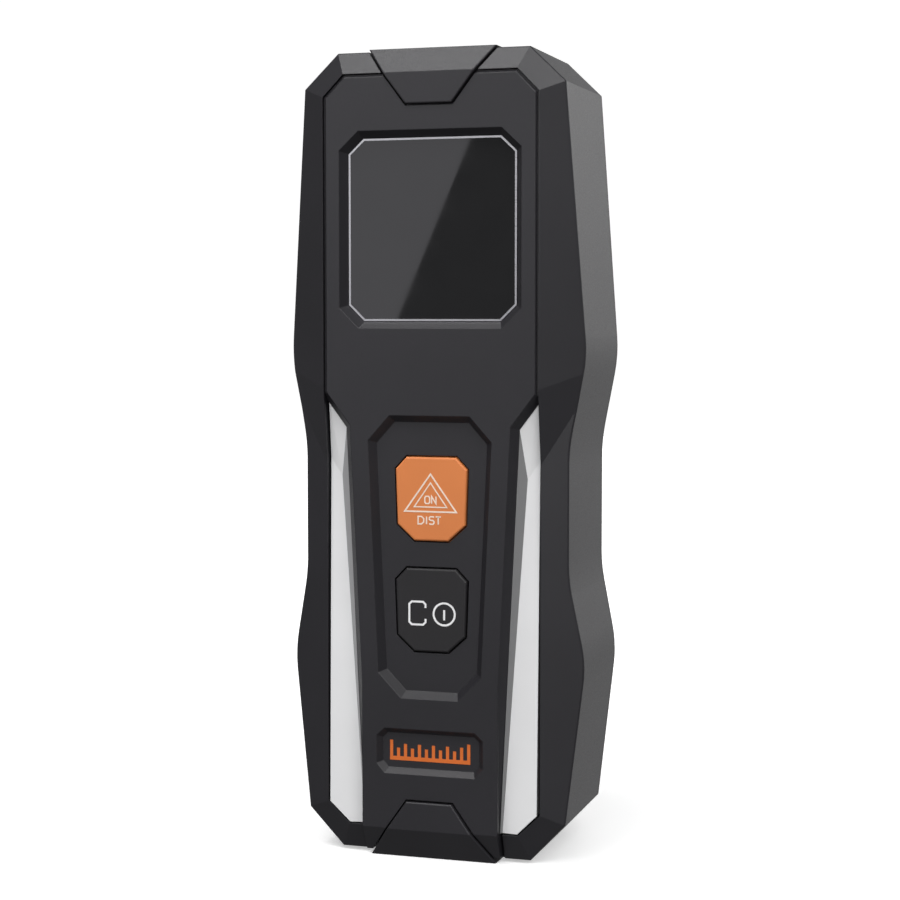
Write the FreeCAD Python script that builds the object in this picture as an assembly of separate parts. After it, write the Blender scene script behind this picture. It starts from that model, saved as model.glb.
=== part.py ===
"""Handheld laser distance meter: a faceted, waisted pocket instrument with a square display and two keys.

It stands upright on its lower end cap. X runs to the right, Z up towards the laser end, and the
display faces -Y. Sizes are in millimetres. Most outlines are drawn in X and Z; the third size is the
depth behind the flat front of the faceplate, which is turned into Y only where a solid is made.
"""
import math
import os

import FreeCAD
import Part

Vector = FreeCAD.Vector

# ---------------------------------------------------------------- driving dimensions
TOTAL_HEIGHT = 114.0
CAP_PROUD = 0.45             # the end caps stand this far in front of the faceplate
BACK_DEPTH = 24.55           # from the front of the faceplate to the back of the rear cover
MID_DEPTH = (BACK_DEPTH - CAP_PROUD) / 2
FIT_GAP = 0.15               # between pieces that drop into each other
SEAM_GAP = 0.32              # the groove that shows round the faceplate
CAP_GAP = 0.24               # the groove that shows round each end cap

SHOULDER_HALF = 21.75
WAIST_HALF = 19.38
HIP_HALF = 21.65
FRAME_TOP = TOTAL_HEIGHT - 0.3
FRAME_BOTTOM = 0.5
CORNER_REACH = 3.35          # how far outside the seam the frame's four corners are
WALL = 2.0
SIDE_DEPTH = 21.9            # where the frame's side walls end and the rear cover starts
RIDGE_ROUND = 0.35

# The seam between the frame and what is set into its front, right half from the top.
SEAM = [(12.66, 110.56), (15.7, 107.46), (15.7, 7.32), (12.49, 4.25)]
UPPER_SLOPE = 0.57           # depth gained per mm outside the seam, upper facets
LOWER_SLOPE = 0.385          # the same, lower facets
LOWER_DEPTH = 1.5            # depth of the lower facets at the seam
STEP_TOP = 66.8              # the facet between the upper and lower depths, along the seam
STEP_BOTTOM = 56.3
STEP_SIDE_SLOPE = 0.625

# Faceplate
PLATE_BACK = 3.6
GROOVE_FLOOR = 0.45          # below this the faceplate nearly fills the seam
GROOVE_FLOOR_GAP = 0.08
LEDGE_BACK = 4.8
LEDGE_WIDTH = 1.5
TONGUE_END_HALF = 9.95       # where the faceplate runs down over the bottom of the frame
TONGUE_END_TOP = 4.37
TONGUE_END_SLOPE = 0.5
STRIP_BED = 3.0
STRIP_WALL_DEPTH = 1.25      # how deep the faceplate's leaning wall beside a strip goes
STRIP_WALL_LEAN = 0.8        # and its sideways run per mm of depth

# Accent strip corners, right side: across, up, and depth behind the front of the faceplate.
STRIP_TIP = (15.38, 64.72, 1.45)
STRIP_INNER_TOP = (12.74, 61.2, 1.4)
STRIP_INNER_END = (10.06, 4.46, 1.15)
STRIP_OUTER_END = (12.42, 4.46, 1.5)
STRIP_OUTER_LOW = (15.34, 7.34, 1.2)
STRIP_SHOULDER = (15.44, 56.8, 2.4)
STRIP_HOLLOW = (13.68, 54.3, 2.2)       # the hollow line, where the inner and main facets meet
STRIP_HOLLOW_END = (10.26, 4.46, 1.75)

SCREEN = [(10.44, 102.66), (13.28, 99.99), (13.28, 78.02), (10.4, 75.2)]
SCREEN_DEPTH = 1.44
SCREEN_WALL = 0.98
WINDOW_THICK = 1.0
WINDOW_LEDGE = 1.3
TRIM_WIDTH = 0.27

KEY_WELL = [(5.88, 63.03), (9.08, 59.46), (7.59, 26.58), (4.21, 23.07)]
KEY_WELL_DEPTH = 1.2
KEY_WELL_WALL = 0.95
KEY_FLOOR_BACK = 2.55
KEY_FACE_DEPTH = 0.85
KEY_TRAVEL = 0.4
KEY_GAP = 0.22
KEY_FLANGE = 0.7
KEY_HALF = [(3.64, 5.89), (5.25, 4.19), (4.98, -3.6), (2.48, -5.88)]
MEASURE_KEY_Z = 51.3
CLEAR_KEY_Z = 35.6
KEY_EDGE = 0.3

BADGE = [(6.68, 18.73), (7.87, 17.6), (7.87, 13.6), (6.68, 12.25)]
BADGE_DEPTH = 0.85
BADGE_WALL = 0.75

# End caps: trapezoid tabs on the front that wrap round each end of the housing.
TAB_TIP_HALF = 3.34
TAB_ROOT_HALF = 9.3
TOP_TAB_TIP = 106.2
BOTTOM_TAB_TIP = 8.4
CAP_BACK = 20.6
CAP_FRONT_BACK = 0.7
CAP_END_THICK = 1.6

# Electronics
LCD_FRONT = 4.1
LCD_GLASS_BACK = 5.2
LCD_BACKLIGHT_BACK = 6.4
BOARD_FRONT = 7.2
BOARD_BACK = 8.4
BOARD_HALF = 16.0
BOARD_BOTTOM = 11.5
BOARD_TOP = 102.9
MEMBRANE_BACK = 4.2
PLUNGER_FRONT = 5.3
SWITCH_FRONT = 5.7
SWITCH_SIDE = 5.2
PLUNGER_R = 1.2

# Optics, looking out of the top end
OPTIC_DEPTH = 14.7
RECEIVER_X = -2.6
RECEIVER_BORE = 4.9
RECEIVER_TUBE = 5.6
EMITTER_X = 5.2
EMITTER_BORE = 2.1
EMITTER_TUBE = 3.1
TUBE_TOP = 111.4
OPTIC_PLATE_BACK = 10.6
OPTIC_SCREWS = [(-11.2, 90.0), (11.2, 90.0), (11.2, 74.0)]

# Battery compartment: two size AAA cells
CELL_R = 5.25
CELL_LENGTH = 44.5
CELL_X = 5.6
CELL_DEPTH = 17.55
BAY_HALF = 11.7
BAY_BOTTOM = 13.2
BAY_TOP = 62.8
BAY_FLOOR = 12.2
BAY_WALL = 1.0
DOOR_THICK = 1.5
DOOR_HALF = 12.3
DOOR_BOTTOM = 11.0           # also the height of the door's hinge axis
DOOR_TOP = 64.0
HOOK_IN = 2.0
HOOK_OUT = 3.0

# Screws
SCREW_POSTS = [(12.0, 105.5), (10.5, 7.5)]
POST_R = 2.2
POST_BACK = 20.0
PILOT_R = 1.03
SCREW_R = 1.0
SCREW_HEAD_R = 1.9
STANDOFFS = [(11.9, 69.6), (11.9, 18.0)]
STANDOFF_R = 1.7

LABEL = [(12.6, 99.2), (13.6, 98.2), (13.6, 76.0), (12.6, 75.0)]


# ---------------------------------------------------------------- drawing helpers
def at(x, depth, z):
    """A point, given its depth behind the front of the faceplate."""
    return Vector(x, depth - MID_DEPTH, z)


def mirrored(half):
    """A closed outline from its right half, listed from the top down."""
    return list(half) + [(-x, z) for x, z in reversed(half)]


def flipped(points):
    return [(-x, z) for x, z in points]


def loop(points, depth):
    corners = [at(x, depth, z) for x, z in points]
    return Part.makePolygon(corners + corners[:1])


def prism(points, front, back):
    """An outline in X and Z, run from one depth to another."""
    return Part.Face(loop(points, front)).extrude(Vector(0, back - front, 0))


def side_prism(profile, left, right):
    """A profile in Z and depth, run across the width."""
    corners = [at(left, depth, z) for z, depth in profile]
    face = Part.Face(Part.makePolygon(corners + corners[:1]))
    return face.extrude(Vector(right - left, 0, 0))


def box(x0, x1, front, back, z0, z1):
    return Part.makeBox(x1 - x0, back - front, z1 - z0, at(x0, front, z0))


def rod_y(x, z, radius, front, back):
    return Part.makeCylinder(radius, back - front, at(x, front, z), Vector(0, 1, 0))


def rod_z(x, depth, radius, z0, z1):
    return Part.makeCylinder(radius, z1 - z0, at(x, depth, z0), Vector(0, 0, 1))


def fuse(*solids):
    whole = solids[0].multiFuse(list(solids[1:])) if len(solids) > 1 else solids[0]
    return whole.removeSplitter()


def both_sides(solid):
    """A solid and its mirror image across X."""
    return [solid, solid.mirror(Vector(0, 0, 0), Vector(1, 0, 0))]


def offset_loop(points, distance):
    """A closed outline moved outwards by a distance, or inwards if negative; a list gives one per side."""
    count = len(points)
    area = sum(points[i][0] * points[(i + 1) % count][1] - points[(i + 1) % count][0] * points[i][1]
               for i in range(count))
    turn = 1 if area > 0 else -1
    distances = distance if isinstance(distance, list) else [distance] * count
    lines = []
    for i in range(count):
        (x0, z0), (x1, z1) = points[i], points[(i + 1) % count]
        length = math.hypot(x1 - x0, z1 - z0)
        nx, nz = turn * (z1 - z0) / length, -turn * (x1 - x0) / length
        lines.append((nx, nz, nx * x0 + nz * z0 + distances[i]))
    moved = []
    for i in range(count):
        a1, b1, c1 = lines[i - 1]
        a2, b2, c2 = lines[i]
        det = a1 * b2 - a2 * b1
        moved.append(((c1 * b2 - c2 * b1) / det, (a1 * c2 - a2 * c1) / det))
    return moved


def tapered(points, front, back, lean_in):
    """A sunk shape whose outline at depth 0 shrinks by lean_in by the time it reaches its back."""
    def at_depth(depth):
        return loop(offset_loop(points, -lean_in * depth / back), depth)
    return Part.makeLoft([at_depth(front), at_depth(back)], True, True)


def beyond(point, normal):
    """A very large block on one side of a plane."""
    size = 400.0
    block = Part.makeBox(size, size, size, Vector(-size / 2, -size / 2, 0))
    turn = FreeCAD.Rotation(Vector(0, 0, 1), normal)
    block.Placement = FreeCAD.Placement(point, turn)
    return block


def in_front_of(x, z, depth, slope_x, slope_z):
    """Everything in front of the plane through (x, z, depth) whose depth grows by the two slopes per mm."""
    return beyond(at(x, depth, z), Vector(slope_x, -1, slope_z))


def beyond_seam(corner, reach):
    """Where one of the seam's corners ends up when the seam is moved outwards."""
    return offset_loop(mirrored(SEAM), reach)[corner]


def outer_outline():
    """The outline of the housing frame, right half from the top: each corner with its fillet radius."""
    return [
        (beyond_seam(0, FRAME_TOP - SEAM[0][1]), 0),
        (beyond_seam(1, CORNER_REACH), 0),
        ((SHOULDER_HALF, 71.2), 21.0),
        ((WAIST_HALF, 58.8), 27.0),
        ((WAIST_HALF, 40.4), 23.0),
        ((HIP_HALF, 28.5), 19.0),
        (beyond_seam(2, CORNER_REACH), 0),
        (beyond_seam(3, SEAM[3][1] - FRAME_BOTTOM), 0),
    ]


def frame_wire(inset, depth):
    """The housing's outer outline with its rounded shoulder, waist and hip, moved inwards by an inset."""
    outline = outer_outline()
    half = offset_loop(mirrored([point for point, _ in outline]), -inset)
    radii = [radius for _, radius in outline]
    radii = radii + radii[::-1]
    count = len(half)
    edges, first, last = [], None, None
    for i in range(count):
        corner = at(half[i][0], depth, half[i][1])
        before = at(half[i - 1][0], depth, half[i - 1][1])
        after = at(half[(i + 1) % count][0], depth, half[(i + 1) % count][1])
        into, out = (corner - before).normalize(), (after - corner).normalize()
        reach = radii[i] * math.tan(into.getAngle(out) / 2)
        start, end = corner - into * reach, corner + out * reach
        if last is None:
            first = start
        else:
            edges.append(Part.LineSegment(last, start).toShape())
        if radii[i]:
            toward = ((before - corner).normalize() + (after - corner).normalize()).normalize()
            span = reach / math.sin(into.getAngle(out) / 2)
            middle = corner + toward * (span - radii[i])
            edges.append(Part.Arc(start, middle, end).toShape())
        last = end
    edges.append(Part.LineSegment(last, first).toShape())
    return Part.Wire(edges)


def frame_prism(inset, front, back):
    return Part.Face(frame_wire(inset, front)).extrude(Vector(0, back - front, 0))


def edge_box(edge):
    b = edge.BoundBox
    return b.XMin, b.XMax, b.YMin + MID_DEPTH, b.YMax + MID_DEPTH, b.ZMin, b.ZMax


# ---------------------------------------------------------------- shapes that pieces share
def side_wall_face(face):
    """True for a face that runs straight back to where the rear cover starts."""
    u0, u1, v0, v1 = face.ParameterRange
    straight = abs(face.normalAt((u0 + u1) / 2, (v0 + v1) / 2).y) < 1e-3
    return straight and face.BoundBox.YMax + MID_DEPTH > SIDE_DEPTH - 0.1


def ridge_edge(solid, edge):
    """An edge between a side wall and a front facet."""
    x0, x1, front, back, z0, z1 = edge_box(edge)
    if back > SIDE_DEPTH - 1:
        return False
    faces = solid.ancestorsOfType(edge, Part.Face)
    return len(faces) == 2 and side_wall_face(faces[0]) != side_wall_face(faces[1])


def outer_body():
    """The whole outer form of the frame, filled, with its upper, stepped and lower front facets."""
    body = frame_prism(0, -1, SIDE_DEPTH)
    body = body.cut(box(-40, 40, -5, 0, -5, 120))
    top_x, top_z = SEAM[0]
    side_x, side_z = SEAM[1]
    corner = Vector(side_z - top_z, 0, top_x - side_x).normalize() * -1
    body = body.cut(in_front_of(0, top_z, 0, 0, UPPER_SLOPE))
    low_x, low_z = SEAM[2]
    end_x, end_z = SEAM[3]
    low_corner = Vector(low_z - end_z, 0, end_x - low_x).normalize()
    step_fall = -LOWER_DEPTH / (STEP_TOP - STEP_BOTTOM)
    for side in (1, -1):
        body = body.cut(in_front_of(side * side_x, 0, 0, side * UPPER_SLOPE, 0))
        body = body.cut(in_front_of(side * top_x, top_z, 0,
                                    side * corner.x * UPPER_SLOPE, corner.z * UPPER_SLOPE))
        step = in_front_of(side * side_x, STEP_TOP, 0, side * STEP_SIDE_SLOPE, step_fall)
        x0, x1 = sorted((side * 12, side * 40))
        step = step.common(box(x0, x1, -5, 12, -5, STEP_TOP + 6))
        step = step.fuse(box(-12.2, 12.2, -5, 12, -5, STEP_BOTTOM))
        lower = [
            in_front_of(0, 0, LOWER_DEPTH, 0, 0),
            in_front_of(side * low_x, 0, LOWER_DEPTH, side * LOWER_SLOPE, 0),
            in_front_of(0, end_z, LOWER_DEPTH, 0, -LOWER_SLOPE),
            in_front_of(side * end_x, end_z, LOWER_DEPTH,
                        side * low_corner.x * LOWER_SLOPE, low_corner.z * LOWER_SLOPE),
        ]
        for facet in lower:
            body = body.cut(step.common(facet))
    left = body.common(box(-40, 0, -20, 60, -20, 140)).removeSplitter()
    left = left.makeFillet(RIDGE_ROUND, [edge for edge in left.Edges if ridge_edge(left, edge)])
    return fuse(*both_sides(left))


def cap_solid(top, gap):
    """An end cap, or the pocket for it when gap is over 0: a trapezoid tab that wraps over one end."""
    if top:
        tip, crease, end, inward = TOP_TAB_TIP, SEAM[0][1], TOTAL_HEIGHT, -1
        end_slope = UPPER_SLOPE
    else:
        tip, crease, end, inward = BOTTOM_TAB_TIP, TONGUE_END_TOP, 0.0, 1
        end_slope = TONGUE_END_SLOPE
    fall = abs(end - crease) * end_slope
    face, back = -CAP_PROUD, CAP_FRONT_BACK + gap
    under = end + inward * (CAP_END_THICK + gap)
    inner_crease = crease + inward * 0.3
    inner_depth = back + abs(under - inner_crease) * end_slope
    start = tip + inward * 1.0
    outside = -4.0 if gap else face
    over = end - inward * (3.0 if gap else 0.0)
    profile = [(start, outside)]
    if not gap:
        profile += [(crease, face), (end, face + fall)]
    else:
        profile += [(over, outside)]
    profile += [(over, CAP_BACK + gap), (under, CAP_BACK + gap), (under, inner_depth),
                (inner_crease, back), (start, back)]
    lean = (TAB_ROOT_HALF - TAB_TIP_HALF) / abs(end - tip)
    root = TAB_ROOT_HALF + lean * abs(over - end)
    trapezoid = [(TAB_TIP_HALF, tip), (root, over), (-root, over), (-TAB_TIP_HALF, tip)]
    if gap:
        trapezoid = offset_loop(trapezoid, gap)
    return side_prism(profile, -14, 14).common(prism(trapezoid, -6, CAP_BACK + 1))


def strip_well(side, depth):
    """The faceplate's cut for an accent strip at one depth; its inner wall leans away from the strip."""
    reach = max(0.0, STRIP_WALL_DEPTH - depth) * STRIP_WALL_LEAN
    base = [(16.2, 65.87), (12.71, 61.23), (10.0, 4.4), (10.0, 3.9), (16.2, 3.9)]
    moved = offset_loop(base, [reach, reach, 0.0, 0.0, 0.0])
    return loop(moved if side > 0 else flipped(moved), depth)


# ---------------------------------------------------------------- housing
def housing_frame():
    body = outer_body()
    cavity = frame_prism(WALL, LEDGE_BACK, SIDE_DEPTH + 1)
    seam = mirrored(SEAM)
    body = body.cut(cavity)
    body = body.cut(prism(seam, -3, PLATE_BACK + 0.1))
    body = body.cut(prism(offset_loop(seam, -LEDGE_WIDTH), PLATE_BACK, LEDGE_BACK + 1))
    notch = TONGUE_END_HALF + SEAM_GAP
    body = body.cut(box(-notch, notch, -3, PLATE_BACK + 0.1, -3, SEAM[3][1] + 1))
    for x, z in SCREW_POSTS:
        for post in both_sides(rod_y(x, z, POST_R + 0.25, -3, LEDGE_BACK + 1)):
            body = body.cut(post)
    body = body.cut(cap_solid(True, CAP_GAP)).cut(cap_solid(False, CAP_GAP))
    body = body.cut(box(-7.9, 7.9, OPTIC_DEPTH - 5.9, OPTIC_DEPTH + 5.6, 110, 116))
    return body.removeSplitter()


def front_faceplate():
    seam = offset_loop(mirrored(SEAM), -SEAM_GAP)
    plate = prism(seam, 0, PLATE_BACK)
    plate = plate.makeChamfer(0.2, [e for e in plate.Edges if edge_box(e)[3] < 0.01])
    skirt = prism(offset_loop(mirrored(SEAM), -GROOVE_FLOOR_GAP), GROOVE_FLOOR, PLATE_BACK)
    tongue_end = side_prism(
        [(TONGUE_END_TOP + 1, 0), (TONGUE_END_TOP, 0),
         (FRAME_BOTTOM + 0.2, (TONGUE_END_TOP - FRAME_BOTTOM - 0.2) * TONGUE_END_SLOPE),
         (FRAME_BOTTOM + 0.2, PLATE_BACK), (TONGUE_END_TOP + 1, PLATE_BACK)],
        -TONGUE_END_HALF, TONGUE_END_HALF)
    plate = fuse(plate, skirt, tongue_end)
    for side in (1, -1):
        wall = [strip_well(side, -1.0), strip_well(side, STRIP_WALL_DEPTH)]
        bed = Part.Face(wall[1]).extrude(Vector(0, STRIP_BED - STRIP_WALL_DEPTH, 0))
        plate = plate.cut(Part.makeLoft(wall, True, True)).cut(bed)
    plate = plate.cut(tapered(mirrored(SCREEN), -1, SCREEN_DEPTH, SCREEN_WALL))
    window = offset_loop(mirrored(SCREEN), -SCREEN_WALL)
    plate = plate.cut(prism(window, 1, SCREEN_DEPTH + WINDOW_THICK))
    plate = plate.cut(prism(offset_loop(window, -WINDOW_LEDGE), 1, PLATE_BACK + 1))
    plate = plate.cut(tapered(mirrored(KEY_WELL), -1, KEY_WELL_DEPTH, KEY_WELL_WALL))
    plate = plate.cut(tapered(mirrored(BADGE), -1, BADGE_DEPTH, BADGE_WALL))
    for centre in (MEASURE_KEY_Z, CLEAR_KEY_Z):
        key = key_outline(centre)
        plate = plate.cut(prism(offset_loop(key, KEY_GAP), 0, PLATE_BACK))
        plate = plate.cut(prism(offset_loop(key, KEY_FLANGE + KEY_GAP), KEY_FLOOR_BACK, PLATE_BACK + 1))
    for z0, z1, half in ((64.8, 73.2, 9.6), (103.9, 108.6, 8.8)):
        plate = plate.cut(box(-half, half, 2.0, PLATE_BACK + 1, z0, z1))
    posts = []
    for x, z in SCREW_POSTS:
        post = rod_y(x, z, POST_R, PLATE_BACK - 0.5, POST_BACK)
        posts += both_sides(post.cut(rod_y(x, z, PILOT_R, PLATE_BACK + 2, POST_BACK + 1)))
    for x, z in STANDOFFS:
        standoff = rod_y(x, z, STANDOFF_R, PLATE_BACK - 0.5, BOARD_FRONT)
        posts += both_sides(standoff.cut(rod_y(x, z, 0.75, PLATE_BACK, BOARD_FRONT + 1)))
    plate = fuse(plate, *posts)
    return plate.cut(cap_solid(True, CAP_GAP)).cut(cap_solid(False, CAP_GAP)).removeSplitter()


def accent_strip(side):
    """A faceted bar: a hollow line runs from near its top down to the inner corner at the bottom."""
    def spot(point, depth=None):
        x, z, own_depth = point
        return at(side * x, own_depth if depth is None else depth, z)

    def facet(*corners):
        return Part.Face(Part.makePolygon(list(corners) + [corners[0]]))

    rim = [STRIP_TIP, STRIP_INNER_TOP, STRIP_INNER_END, STRIP_OUTER_END, STRIP_OUTER_LOW, STRIP_SHOULDER]
    tip, inner_top, inner_end, outer_end, outer_low, shoulder = [spot(point) for point in rim]
    bed = [spot(point, STRIP_BED) for point in rim]
    hollow, hollow_end = spot(STRIP_HOLLOW), spot(STRIP_HOLLOW_END)
    inner_line = Part.LineSegment(inner_top, inner_end).toShape()
    hollow_line = Part.LineSegment(hollow, hollow_end).toShape()
    outer_line = Part.LineSegment(shoulder, outer_low).toShape()
    faces = [
        facet(tip, inner_top, hollow),
        facet(tip, hollow, shoulder),
        Part.makeRuledSurface(inner_line, hollow_line),
        Part.makeRuledSurface(hollow_line, outer_line),
        facet(hollow_end, outer_low, outer_end),
        facet(tip, inner_top, bed[1], bed[0]),
        facet(inner_top, inner_end, bed[2], bed[1]),
        facet(inner_end, hollow_end, outer_end, bed[3], bed[2]),
        facet(outer_end, outer_low, bed[4], bed[3]),
        facet(outer_low, shoulder, bed[5], bed[4]),
        facet(shoulder, tip, bed[0], bed[5]),
        facet(*bed),
    ]
    shell = Part.Shell(Part.makeCompound(faces).Faces)
    shell.sewShape()
    solid = Part.Solid(Part.Shell(shell.Faces))
    if solid.Volume < 0:
        solid.reverse()
    return solid


def rear_cover():
    plate = frame_prism(0, SIDE_DEPTH, BACK_DEPTH)
    back_edges = [e for e in plate.Edges if edge_box(e)[2] > BACK_DEPTH - 0.01]
    plate = plate.makeChamfer(1.7, back_edges)
    plate = plate.cut(frame_prism(WALL + 0.6, SIDE_DEPTH - 1, BACK_DEPTH - 1.6))
    lip = frame_prism(WALL + 0.12, SIDE_DEPTH - 1.4, SIDE_DEPTH + 0.6)
    lip = lip.cut(frame_prism(WALL + 1.2, SIDE_DEPTH - 3, SIDE_DEPTH + 3))
    groove = frame_prism(0.7, SIDE_DEPTH - 1, SIDE_DEPTH + 0.5)
    groove = groove.cut(frame_prism(1.5, SIDE_DEPTH - 2, SIDE_DEPTH + 2))
    outer = BAY_HALF + BAY_WALL
    bay = box(-outer, outer, BAY_FLOOR - BAY_WALL, BACK_DEPTH - 1.2,
              BAY_BOTTOM - BAY_WALL, BAY_TOP + BAY_WALL)
    bosses = []
    for x, z in SCREW_POSTS:
        bosses += both_sides(rod_y(x, z, 3.1, POST_BACK + 0.1, BACK_DEPTH - 0.8))
    cover = fuse(plate.cut(groove), lip, bay, *bosses)
    cover = cover.cut(box(-BAY_HALF, BAY_HALF, BAY_FLOOR, BACK_DEPTH, BAY_BOTTOM, BAY_TOP))
    opening = door_outline(FIT_GAP)
    cover = cover.cut(prism(opening, BACK_DEPTH - DOOR_THICK - 0.1, BACK_DEPTH + 1))
    # hooks swing through here, and the cells' contact tails pass the bay's floor
    for side in (1, -1):
        x0, x1 = sorted((side * 1.8, side * 5.7))
        cover = cover.cut(box(x0, x1, BACK_DEPTH - HOOK_OUT - 0.3, BACK_DEPTH - 1.6, 8.2, BAY_BOTTOM + 1))
        cover = cover.cut(box(side * CELL_X - 1.2, side * CELL_X + 1.2, BAY_FLOOR - 3, BAY_FLOOR + 1,
                              BAY_BOTTOM - 0.01, BAY_BOTTOM + 0.6))
    # finger scoop above the door's latch
    scoop = Part.makeSphere(9.0, at(0, BACK_DEPTH + 8.1, DOOR_TOP + 1.6))
    cover = cover.cut(scoop.common(box(-6, 6, BACK_DEPTH - 1, BACK_DEPTH + 1, DOOR_TOP - 1, DOOR_TOP + 8)))
    cover = cover.cut(prism(mirrored(LABEL), BACK_DEPTH - 0.35, BACK_DEPTH + 1))
    for x, z in SCREW_POSTS:
        for s in (x, -x):
            cover = cover.cut(rod_y(s, z, 2.25, 22.2, BACK_DEPTH + 1))
            cover = cover.cut(rod_y(s, z, 1.2, POST_BACK - 1, BACK_DEPTH))
    return cover.removeSplitter()


def rear_label():
    return prism(offset_loop(mirrored(LABEL), -FIT_GAP), BACK_DEPTH - 0.35, BACK_DEPTH - 0.1)


def case_seal():
    ring = frame_prism(0.8, SIDE_DEPTH, SIDE_DEPTH + 0.45)
    return ring.cut(frame_prism(1.4, SIDE_DEPTH - 1, SIDE_DEPTH + 2))


def top_end_cap():
    cap = cap_solid(True, 0)
    cap = cap.makeFillet(0.2, [e for e in cap.Edges if tab_edge(e)])
    cap = cap.cut(rod_z(RECEIVER_X, OPTIC_DEPTH, 4.9, 113.1, 116))
    cap = cap.cut(rod_z(RECEIVER_X, OPTIC_DEPTH, 4.3, 110, 116))
    cap = cap.cut(rod_z(EMITTER_X, OPTIC_DEPTH, 2.3, 113.1, 116))
    return cap.cut(rod_z(EMITTER_X, OPTIC_DEPTH, 1.8, 110, 116))


def tab_edge(edge):
    """The outer edges of a cap's front tab."""
    x0, x1, front, back, z0, z1 = edge_box(edge)
    crease = x1 - x0 > 2 * TAB_TIP_HALF + 0.1 and back - front < 0.01 and z1 - z0 < 0.01
    return back < 2.5 and front < -CAP_PROUD + 2.1 and outer_side(edge) and not crease


def outer_side(edge):
    """True where an edge lies on the cap's outer skin, in front of its inner face."""
    middle = edge.valueAt((edge.FirstParameter + edge.LastParameter) / 2)
    depth, z = middle.y + MID_DEPTH, middle.z
    if z > 60:
        skin = -CAP_PROUD + max(0.0, z - SEAM[0][1]) * UPPER_SLOPE
    else:
        skin = -CAP_PROUD + max(0.0, TONGUE_END_TOP - z) * TONGUE_END_SLOPE
    return abs(depth - skin) < 0.05


def bottom_end_cap():
    cap = cap_solid(False, 0)
    return cap.makeFillet(0.2, [e for e in cap.Edges if tab_edge(e)])


def lens_disc(x, radius, z0, z1):
    return rod_z(x, OPTIC_DEPTH, radius, z0, z1)


# ---------------------------------------------------------------- display
def window_outline():
    return offset_loop(mirrored(SCREEN), -SCREEN_WALL)


def display_trim():
    outline = offset_loop(window_outline(), -0.03)
    ring = prism(outline, SCREEN_DEPTH - 0.12, SCREEN_DEPTH + 0.5)
    return ring.cut(prism(offset_loop(outline, -TRIM_WIDTH), -1, 4))


def display_window():
    outline = offset_loop(window_outline(), -0.03)
    sheet = prism(outline, SCREEN_DEPTH + 0.5, SCREEN_DEPTH + WINDOW_THICK)
    raised = prism(offset_loop(outline, -TRIM_WIDTH), SCREEN_DEPTH - 0.05, SCREEN_DEPTH + 0.6)
    return fuse(sheet, raised)


def display_gasket():
    ring = box(-12.4, 12.4, PLATE_BACK, LCD_FRONT, 75.6, 102.4)
    return ring.cut(box(-11.2, 11.2, 0, 9, 77.4, 101.4))


def lcd_panel():
    return box(-12.2, 12.2, LCD_FRONT, LCD_GLASS_BACK, 75.8, 102.2)


def lcd_backlight():
    block = box(-12.2, 12.2, LCD_GLASS_BACK, LCD_BACKLIGHT_BACK, 75.8, 102.2)
    return block.cut(box(-9.0, 9.0, LCD_BACKLIGHT_BACK - 0.3, 9, 79.0, 99.0))


def lcd_bracket():
    frame = box(-13.4, 13.4, LCD_FRONT, BOARD_FRONT, 74.8, 102.9)
    frame = frame.cut(box(-12.35, 12.35, 0, LCD_BACKLIGHT_BACK + 0.1, 75.65, 102.35))
    frame = frame.cut(box(-10.5, 10.5, 0, 9, 78.0, 100.5))
    return frame.cut(box(-8.2, 8.2, 0, 9, 74.0, 78.5))


def lcd_flex():
    """The ribbon from the display's glass, down and round to its connector on the board."""
    lead = box(-7.6, 7.6, 4.75, 4.9, 74.4, 75.75)
    drop = box(-7.6, 7.6, 4.75, BOARD_FRONT, 74.25, 74.4)
    foot = box(-7.6, 7.6, BOARD_FRONT - 0.15, BOARD_FRONT, 71.5, 74.25)
    return fuse(lead, drop, foot)


# ---------------------------------------------------------------- keys
def key_outline(centre):
    return [(x, z + centre) for x, z in mirrored(KEY_HALF)]


def key_cap(centre):
    outline = key_outline(centre)
    cap = prism(outline, KEY_FACE_DEPTH, KEY_FLOOR_BACK + 0.2)
    rim = [e for e in cap.Edges if edge_box(e)[3] < KEY_FACE_DEPTH + 0.01]
    cap = cap.makeFillet(KEY_EDGE, rim)
    flange = prism(offset_loop(outline, KEY_FLANGE), KEY_FLOOR_BACK + 0.08, PLATE_BACK - KEY_TRAVEL)
    stem = rod_y(0, centre, 2.2, PLATE_BACK - KEY_TRAVEL - 0.1, PLATE_BACK)
    return fuse(cap, flange, stem)


def keypad_membrane():
    """One silicone mat: a flat web behind the faceplate, with a post under each key."""
    web = box(-9.4, 9.4, PLATE_BACK, MEMBRANE_BACK, 26.2, 60.6)
    posts = [rod_y(0, z, 1.5, MEMBRANE_BACK - 0.1, PLUNGER_FRONT) for z in (MEASURE_KEY_Z, CLEAR_KEY_Z)]
    grooves = []
    for z in (MEASURE_KEY_Z, CLEAR_KEY_Z):
        ring = rod_y(0, z, 4.2, MEMBRANE_BACK - 0.3, MEMBRANE_BACK + 1)
        grooves.append(ring.cut(rod_y(0, z, 2.6, MEMBRANE_BACK - 1, MEMBRANE_BACK + 2)))
    return fuse(web, *posts).cut(Part.makeCompound(grooves))


def switch_body(centre):
    half = SWITCH_SIDE / 2
    body = box(-half, half, SWITCH_FRONT, BOARD_FRONT, centre - half, centre + half)
    body = body.cut(rod_y(0, centre, PLUNGER_R + 0.06, SWITCH_FRONT - 1, BOARD_FRONT - 0.1))
    feet = [box(x - 0.35, x + 0.35, BOARD_FRONT - 0.25, BOARD_FRONT, z - 0.6, z + 0.6)
            for x in (-1.6, 1.6) for z in (centre - half - 0.55, centre + half + 0.55)]
    return fuse(body, *feet)


def switch_plunger(centre):
    return rod_y(0, centre, PLUNGER_R, PLUNGER_FRONT, BOARD_FRONT - 0.1 - KEY_TRAVEL - 0.05)


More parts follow.
